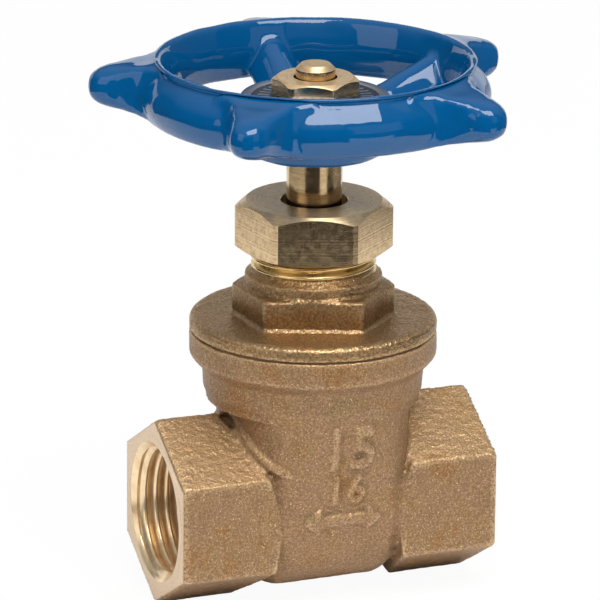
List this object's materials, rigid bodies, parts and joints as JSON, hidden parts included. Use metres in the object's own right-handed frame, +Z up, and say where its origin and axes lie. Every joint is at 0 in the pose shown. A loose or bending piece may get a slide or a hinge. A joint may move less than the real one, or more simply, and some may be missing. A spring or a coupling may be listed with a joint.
{
  "type": "gate valve",
  "caption": "Screwed-bonnet gate valve with threaded hexagon pipe ends, a non-rising stem, a packing nut and a ring handwheel with finger lobes; turning the wheel lifts the wedge.",
  "frame": {"origin": "on the pipe's axis where the inlet's thread reaches its full height, 1.4 mm inside the end face", "axes": "+X along the pipe from inlet to outlet, +Z up along the stem to the handwheel, +Y to the valve's left hand as seen from the inlet"},
  "size_m": [0.0646, 0.0628, 0.0841],
  "materials": {
    "sand_cast_bronze": "sand-cast, shot-blasted, speckled golden brown",
    "machined_brass": "turned and milled, bright, with fine tool lines",
    "blue_enamel": "thick glossy dip enamel on cast iron",
    "plate_aluminium": "thin pressed disc with a dark printed field",
    "graphite_packing": "braided graphited packing, matt black",
    "fibre_gasket": "compressed fibre sheet, dark",
    "ptfe_washer": "white PTFE, matt"
  },
  "bodies": {
    "valve_body": {"body": "sand_cast_bronze", "bonnet": "sand_cast_bronze", "bonnet_gasket": "fibre_gasket", "stem_retainer": "machined_brass", "gland_follower": "machined_brass", "packing_nut": "machined_brass", "lower_thrust_washer": "ptfe_washer", "upper_thrust_washer": "ptfe_washer", "packing_ring_1": "graphite_packing", "packing_ring_2": "graphite_packing", "packing_ring_3": "graphite_packing"},
    "spindle": {"stem": "machined_brass", "handwheel": "blue_enamel", "identity_plate": "plate_aluminium", "wheel_nut": "machined_brass"},
    "gate": {"wedge": "sand_cast_bronze"}
  },
  "joints": [
    {"name": "stem_turn", "type": "hinge", "parent": "valve_body", "child": "spindle", "pos_m": [0.0242, 0, 0], "axis": [0, 0, 1], "range_deg": [0, 1800]},
    {"name": "wedge_lift", "type": "slide", "parent": "valve_body", "child": "gate", "axis": [0, 0, 1], "range_m": [0, 0.016]}
  ],
  "couplings": [
    {"joint": "wedge_lift", "follows": "stem_turn", "m_per_rad": 0.0005093}
  ]
}
